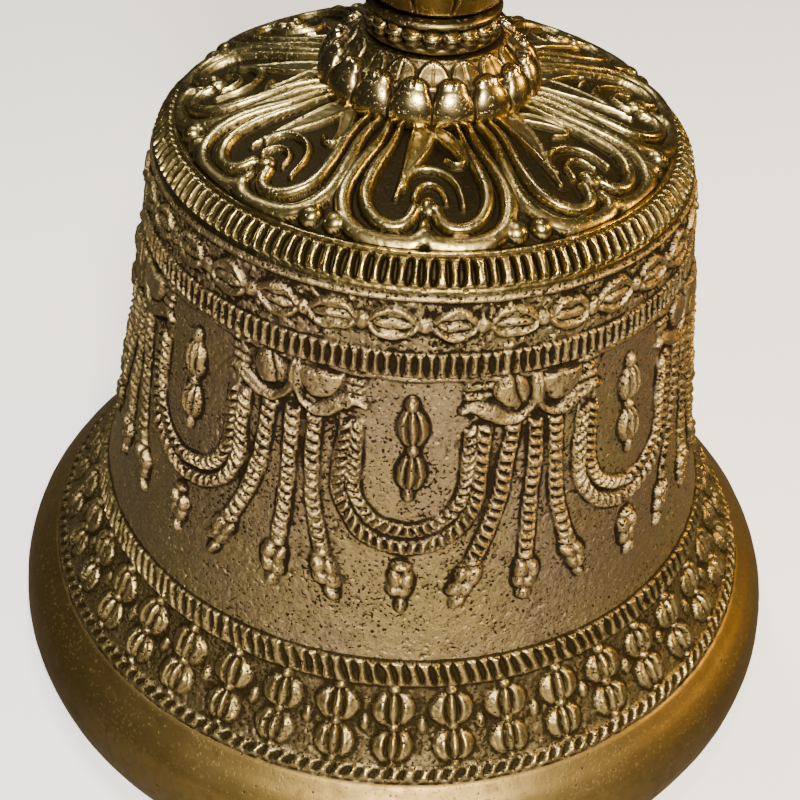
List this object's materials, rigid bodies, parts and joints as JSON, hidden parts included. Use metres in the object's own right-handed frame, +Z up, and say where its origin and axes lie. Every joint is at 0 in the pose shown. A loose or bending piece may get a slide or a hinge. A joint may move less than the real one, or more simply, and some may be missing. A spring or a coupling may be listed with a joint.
{
  "type": "hand bell",
  "caption": "Cast brass ritual hand bell with raised ornament bands, a stacked handle, a half-vajra top and a clapper that swings on a link inside.",
  "frame": {"origin": "centre of the mouth, on the plane of the lip the bell stands on", "axes": "+Z up along the bell's axis through the handle, -Y the front, +X to the right seen from the front"},
  "size_m": [0.09, 0.09, 0.1696],
  "materials": {
    "shell_brass": "aged, dark in the recesses",
    "handle_brass": "satin, worn",
    "rod_steel": "plain",
    "clapper_iron": "forged, dull"
  },
  "bodies": {
    "bell": {"bell_shell": "shell_brass", "handle_foot": "handle_brass", "lower_collar": "handle_brass", "handle_vase": "handle_brass", "middle_collar": "handle_brass", "handle_barrel": "handle_brass", "upper_collar": "handle_brass", "lotus_cup": "handle_brass", "vajra_hub": "handle_brass", "vajra_prong_1": "handle_brass", "vajra_prong_2": "handle_brass", "vajra_prong_3": "handle_brass", "vajra_prong_4": "handle_brass", "vajra_core": "handle_brass", "tang_rod": "rod_steel", "crown_washer": "handle_brass", "clapper_staple": "clapper_iron"},
    "link": {"clapper_link": "clapper_iron"},
    "clapper": {"clapper_stem": "clapper_iron", "clapper_ball": "clapper_iron", "clapper_rivet": "clapper_iron"}
  },
  "joints": [
    {"name": "link_swing", "type": "hinge", "parent": "bell", "child": "link", "pos_m": [0, 0, 0.052], "axis": [1, 0, 0], "range_deg": [-32, 32]},
    {"name": "clapper_swing", "type": "hinge", "parent": "link", "child": "clapper", "pos_m": [0, 0, 0.0445], "axis": [0, 1, 0], "range_deg": [-18, 18]}
  ]
}
